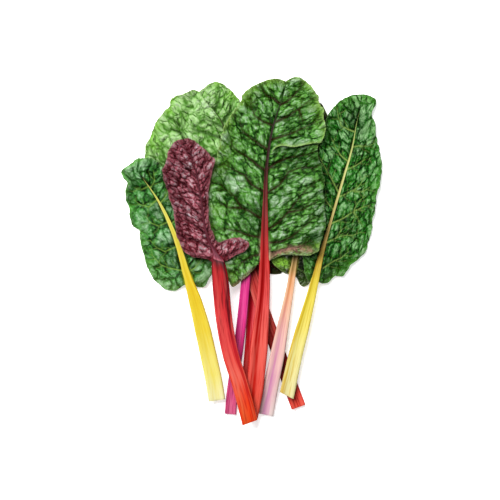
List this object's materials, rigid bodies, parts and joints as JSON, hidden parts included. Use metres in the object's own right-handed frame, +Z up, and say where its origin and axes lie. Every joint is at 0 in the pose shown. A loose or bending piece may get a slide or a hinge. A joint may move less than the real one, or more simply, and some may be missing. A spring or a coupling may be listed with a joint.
{
  "type": "swiss chard bunch",
  "caption": "Bunch of rainbow chard lying flat: crinkled green, pale green and purple leaves fanned out on thick red, yellow, pink and magenta stems.",
  "frame": {"origin": "on the surface that the bunch lies on, under the middle of its outline", "axes": "+Y from the cut stem ends to the leaf tips, +X to the right as seen from above with the tips ahead, +Z up"},
  "size_m": [0.2846, 0.3798, 0.0345],
  "materials": {
    "green_leaf": "waxy",
    "pale_green_leaf": "waxy",
    "purple_leaf": "waxy",
    "red_stem": "satin",
    "dark_red_stem": "satin",
    "magenta_stem": "satin",
    "pink_stem": "satin",
    "yellow_stem": "satin"
  },
  "bodies": {
    "root": {"mid_red_stem": "dark_red_stem", "mid_red_blade": "green_leaf", "pale_back_stem": "dark_red_stem", "pale_back_blade": "pale_green_leaf", "magenta_stem": "magenta_stem", "magenta_blade": "green_leaf", "pink_stem": "pink_stem", "pink_blade": "green_leaf", "yellow_left_stem": "yellow_stem", "yellow_left_blade": "green_leaf", "yellow_right_stem": "yellow_stem", "yellow_right_blade": "green_leaf", "centre_stem": "red_stem", "centre_blade": "green_leaf", "purple_stem": "red_stem", "purple_blade": "purple_leaf"}
  },
  "joints": []
}
